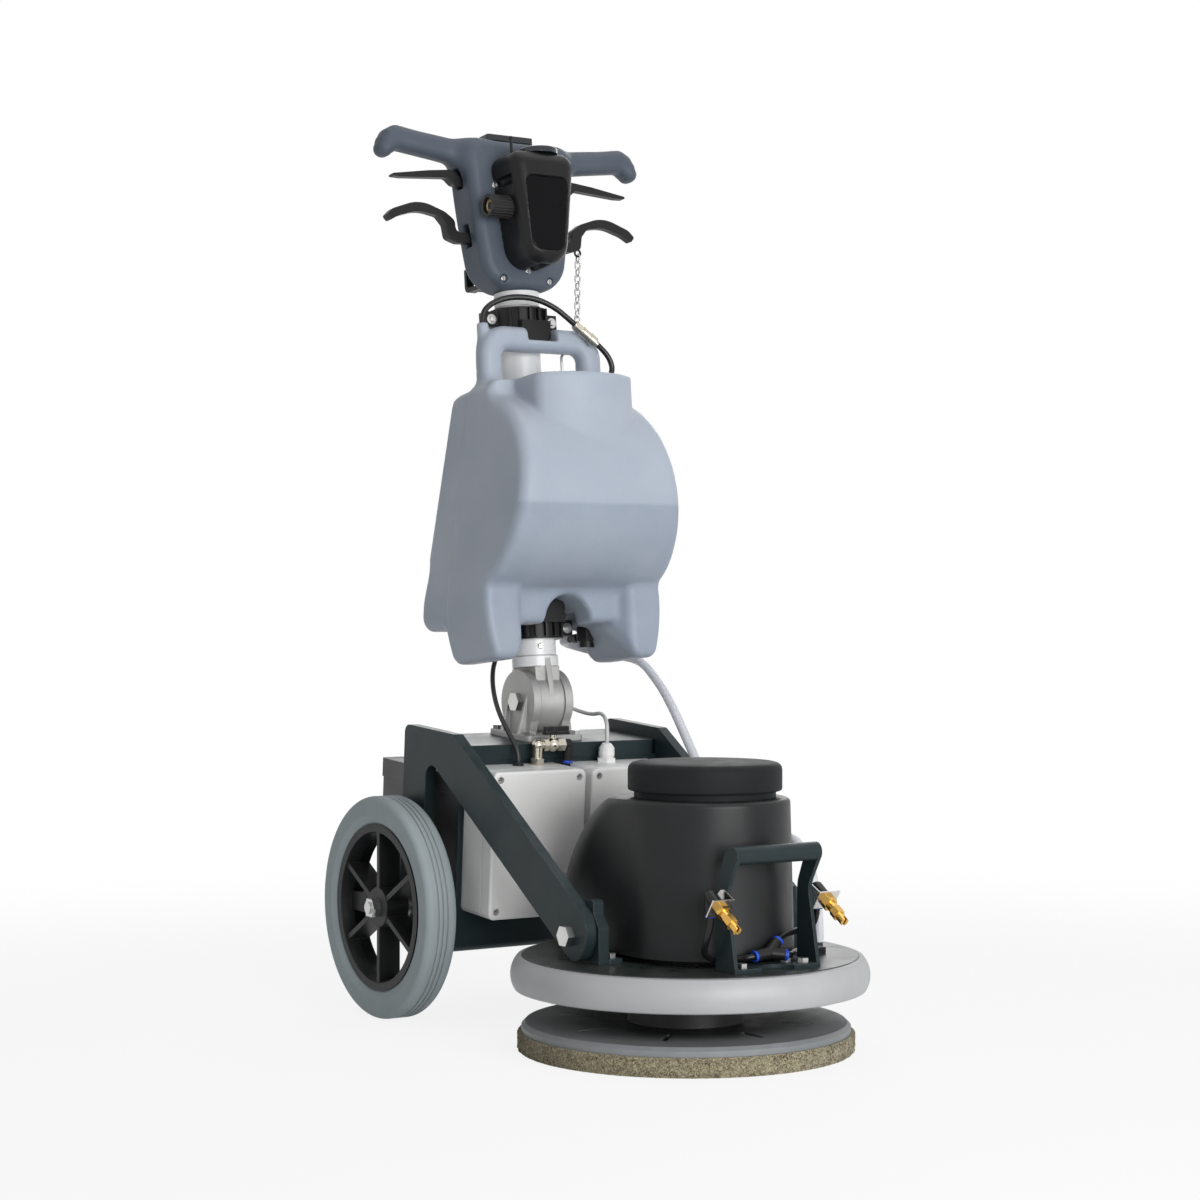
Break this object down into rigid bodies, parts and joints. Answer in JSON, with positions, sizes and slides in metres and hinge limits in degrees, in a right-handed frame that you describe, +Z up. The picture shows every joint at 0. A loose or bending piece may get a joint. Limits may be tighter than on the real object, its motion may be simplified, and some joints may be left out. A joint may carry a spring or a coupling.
{
  "type": "orbital floor scrubber",
  "caption": "Walk-behind orbital floor scrubber with a round driven pad deck, wheeled battery frame, solution tank on a tilting column, spray nozzles and twin hand grips.",
  "frame": {"origin": "on the floor at the underside of the scrubbing pad, below the drive axis of the deck", "axes": "+Z up, -Y towards the front (deck and lifting handle), +Y towards the operator and the wheels, +X to the left of an operator who stands at the grips and faces the deck"},
  "size_m": [0.482, 0.8013, 1.2322],
  "materials": {
    "frame_paint": "satin powder coat",
    "cast_alloy": "as cast",
    "battery_case": "moulded",
    "zinc_steel": "zinc plated",
    "box_plastic": "moulded",
    "pump_black": "moulded",
    "brass": "machined",
    "nickel": "nickel plated",
    "stainless": "brushed",
    "black_plastic": "satin",
    "head_plastic": "moulded",
    "tank_plastic": "translucent moulded",
    "tube_white": "powder coat",
    "rim_plastic": "moulded",
    "tyre_grey": "non-marking solid",
    "bumper_rubber": "non-marking",
    "motor_iron": "satin",
    "shaft_steel": "turned",
    "pad_fibre": "fibrous",
    "driver_plastic": "moulded",
    "clear_hose": "clear vinyl",
    "cable_black": "jacket",
    "cable_grey": "jacket",
    "chain_steel": "zinc plated",
    "lens": "glossy window"
  },
  "bodies": {
    "chassis": {"side_plate_left": "frame_paint", "side_plate_right": "frame_paint", "frame_box": "frame_paint", "batteries": "battery_case", "axle_studs": "zinc_steel", "frame_bolts": "zinc_steel", "enclosures": "box_plastic", "enclosure_lids": "box_plastic", "spray_pump": "pump_black", "motor_controller": "cast_alloy", "valve_body": "nickel", "hose_elbow": "black_plastic", "cable_gland": "box_plastic", "joint_base": "cast_alloy", "power_cable": "cable_black", "signal_cable": "cable_grey", "tank_hose": "clear_hose", "deck_hose": "clear_hose", "hose_clip": "black_plastic"},
    "column": {"tilt_hub": "cast_alloy", "column_tube": "tube_white", "tank_clamps": "black_plastic", "tank": "tank_plastic", "feed_hose": "cable_black", "hose_coupler": "nickel", "tank_valve": "black_plastic", "head_front": "head_plastic", "head_rear": "head_plastic", "control_cover": "black_plastic", "gauge": "lens", "socket": "black_plastic", "display_panel": "black_plastic", "cable_hook": "black_plastic"},
    "deck": {"deck_plate": "frame_paint", "pivot_lugs": "frame_paint", "bumper": "bumper_rubber", "drive_motor": "motor_iron", "motor_cover": "black_plastic", "motor_lid": "black_plastic", "carry_handle": "frame_paint", "nozzles": "brass", "nozzle_brackets": "stainless", "spray_fittings": "nickel", "spray_tubes": "cable_black", "deck_bolts": "zinc_steel"},
    "wheel_left": {"tyre_left": "tyre_grey", "rim_left": "rim_plastic"},
    "wheel_right": {"tyre_right": "tyre_grey", "rim_right": "rim_plastic"},
    "drive": {"eccentric_shaft": "shaft_steel"},
    "pad": {"pad_driver": "driver_plastic", "pad": "pad_fibre"},
    "switch_left": {"switch_lever_left": "black_plastic"},
    "switch_right": {"switch_lever_right": "black_plastic"},
    "pull_left": {"pull_lever_left": "black_plastic"},
    "pull_right": {"pull_lever_right": "black_plastic"},
    "chain": {"chain": "chain_steel"},
    "toggle": {"toggle_lever": "nickel"},
    "valve_lever": {"valve_lever": "black_plastic"},
    "cap": {"tank_cap": "black_plastic"}
  },
  "joints": [
    {"name": "handle_tilt", "type": "hinge", "parent": "chassis", "child": "column", "pos_m": [0, 0.368, 0.43], "axis": [-1, 0, 0], "range_deg": [-5, 55], "deforming": ["power_cable", "signal_cable", "tank_hose"]},
    {"name": "deck_tilt", "type": "hinge", "parent": "chassis", "child": "deck", "pos_m": [0, 0.015, 0.153], "axis": [1, 0, 0], "range_deg": [-5, 6], "deforming": ["deck_hose"]},
    {"name": "wheel_left_spin", "type": "hinge", "parent": "chassis", "child": "wheel_left", "pos_m": [-0.208, 0.42, 0.1516], "axis": [1, 0, 0], "continuous": true},
    {"name": "wheel_right_spin", "type": "hinge", "parent": "chassis", "child": "wheel_right", "pos_m": [0.208, 0.42, 0.1516], "axis": [1, 0, 0], "continuous": true},
    {"name": "drive_spin", "type": "hinge", "parent": "deck", "child": "drive", "pos_m": [0, 0, 0.09], "axis": [0, 0, 1], "continuous": true},
    {"name": "pad_spin", "type": "hinge", "parent": "drive", "child": "pad", "pos_m": [-0.00635, 0, 0.05], "axis": [0, 0, 1], "continuous": true},
    {"name": "switch_right_squeeze", "type": "hinge", "parent": "column", "child": "switch_right", "pos_m": [0.066, 0.44076, 1.15436], "axis": [0, -0.9954, 0.0958], "range_deg": [0, 8], "stiffness_Nm_per_rad": 2, "springref_deg": -5.73},
    {"name": "switch_left_squeeze", "type": "hinge", "parent": "column", "child": "switch_left", "pos_m": [-0.066, 0.44076, 1.15436], "axis": [0, 0.9954, -0.0958], "range_deg": [0, 8], "stiffness_Nm_per_rad": 2, "springref_deg": -5.73},
    {"name": "pull_right_squeeze", "type": "hinge", "parent": "column", "child": "pull_right", "pos_m": [0.066, 0.43348, 1.07871], "axis": [0, -0.9954, 0.0958], "range_deg": [0, 12], "stiffness_Nm_per_rad": 3, "springref_deg": -8.59},
    {"name": "pull_left_squeeze", "type": "hinge", "parent": "column", "child": "pull_left", "pos_m": [-0.066, 0.43348, 1.07871], "axis": [0, 0.9954, -0.0958], "range_deg": [0, 12], "stiffness_Nm_per_rad": 3, "springref_deg": -8.59},
    {"name": "chain_pull", "type": "slide", "parent": "column", "child": "chain", "axis": [0, 0.0958, 0.9954], "range_m": [0, 0.0092]},
    {"name": "toggle_flip", "type": "hinge", "parent": "column", "child": "toggle", "pos_m": [-0.035, 0.37961, 1.19742], "axis": [1, 0, 0], "range_deg": [-15, 15]},
    {"name": "valve_turn", "type": "hinge", "parent": "chassis", "child": "valve_lever", "pos_m": [-0.025, 0.28691, 0.3919], "axis": [0, -0.0698, 0.9976], "range_deg": [0, 90]},
    {"name": "cap_lift", "type": "slide", "parent": "column", "child": "cap", "axis": [0, 0.0958, 0.9954], "range_m": [0, 0.06]}
  ],
  "couplings": [
    {"joint": "chain_pull", "follows": "pull_right_squeeze", "m_per_rad": 0.0434}
  ]
}
